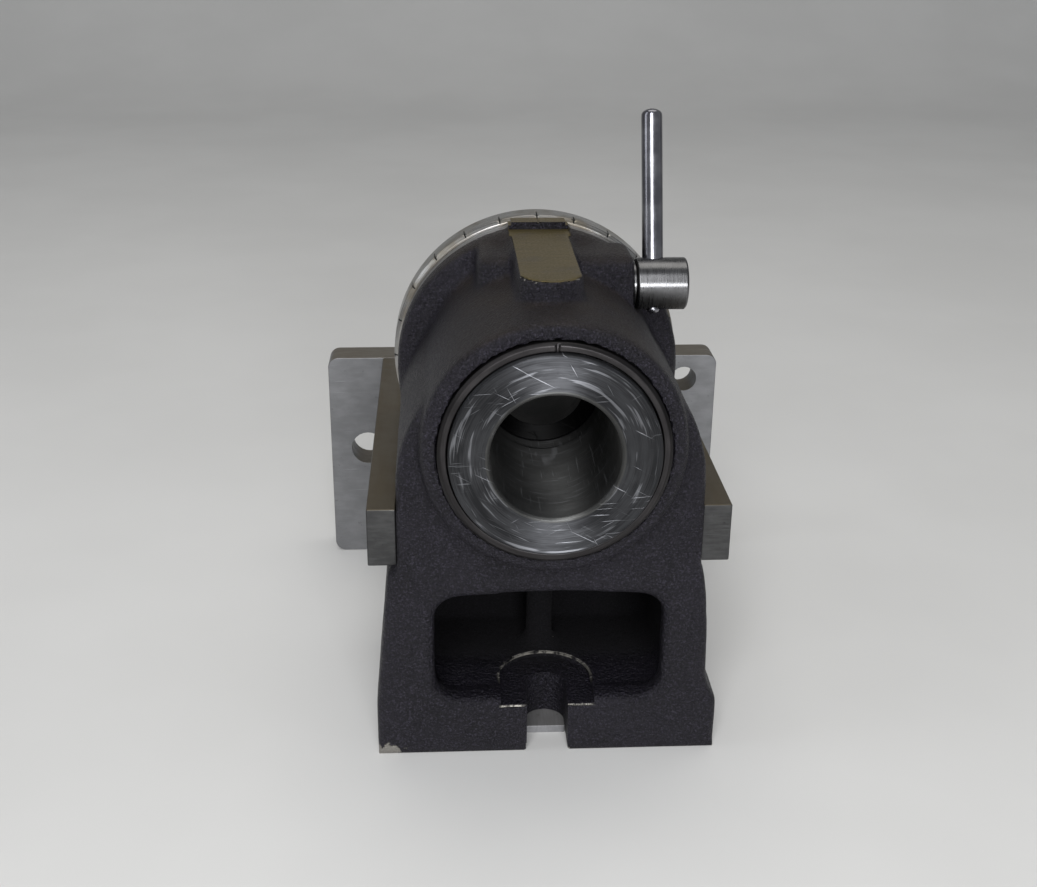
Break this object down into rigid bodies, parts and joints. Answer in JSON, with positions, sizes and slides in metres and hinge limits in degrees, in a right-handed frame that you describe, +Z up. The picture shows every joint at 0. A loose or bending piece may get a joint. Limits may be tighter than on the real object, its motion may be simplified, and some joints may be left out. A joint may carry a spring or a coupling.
{
  "type": "rotary table",
  "caption": "Cast pedestal with a hollow horizontal spindle, a graduated dial, a lever clamp and a rear mounting plate on side bars.",
  "frame": {"origin": "centre of the bounding box, on the table plane under the foot and the plate", "axes": "+X to the right seen from the spindle nose, +Y from the nose back to the mounting plate, +Z up"},
  "size_m": [0.183, 0.2014, 0.2275],
  "materials": {
    "cast_iron": "rough casting with worn black paint",
    "ground_steel": "ground and scratched",
    "dark_steel": "darkened, smooth",
    "dial_steel": "turned satin",
    "hub_steel": "turned satin",
    "rod_steel": "polished",
    "bar_steel": "dull mill finish",
    "plate_steel": "dull mill finish",
    "tenon_steel": "ground",
    "black_screws": "black oxide",
    "bronze": "turned bronze",
    "brass": "turned brass"
  },
  "bodies": {
    "fixture": {"base_casting": "cast_iron", "front_bush": "dark_steel", "rear_bush": "bronze", "thrust_washer": "bronze", "front_tenon": "tenon_steel", "front_tenon_screw": "black_screws", "rear_tenon": "tenon_steel", "rear_tenon_screw": "black_screws", "left_bar": "bar_steel", "right_bar": "bar_steel", "rear_plate": "plate_steel", "left_bar_screw_1": "black_screws", "left_plate_screw_1": "black_screws", "left_bar_screw_2": "black_screws", "left_plate_screw_2": "black_screws", "right_bar_screw_1": "black_screws", "right_plate_screw_1": "black_screws", "right_bar_screw_2": "black_screws", "right_plate_screw_2": "black_screws"},
    "spindle_body": {"spindle": "ground_steel", "spindle_key": "dark_steel", "spindle_key_screw": "black_screws", "dial": "dial_steel", "dial_dowel": "ground_steel", "dial_screw_1": "black_screws", "dial_screw_2": "black_screws", "dial_screw_3": "black_screws"},
    "lever": {"clamp_shaft": "ground_steel", "lever_hub": "hub_steel", "lever_rod": "rod_steel", "hub_washer": "hub_steel"},
    "shoe": {"clamp_shoe": "brass"}
  },
  "joints": [
    {"name": "spindle_turn", "type": "hinge", "parent": "fixture", "child": "spindle_body", "pos_m": [0, -0.0373, 0.127], "axis": [0, 1, 0], "continuous": true},
    {"name": "clamp_lever_turn", "type": "hinge", "parent": "fixture", "child": "lever", "pos_m": [0, -0.0213, 0.1652], "axis": [1, 0, 0], "range_deg": [-20, 60]},
    {"name": "shoe_press", "type": "slide", "parent": "fixture", "child": "shoe", "axis": [0, 0, -1], "range_m": [-0.00025, 0.0007]}
  ],
  "couplings": [
    {"joint": "shoe_press", "follows": "clamp_lever_turn", "m_per_rad": 0.00057}
  ]
}
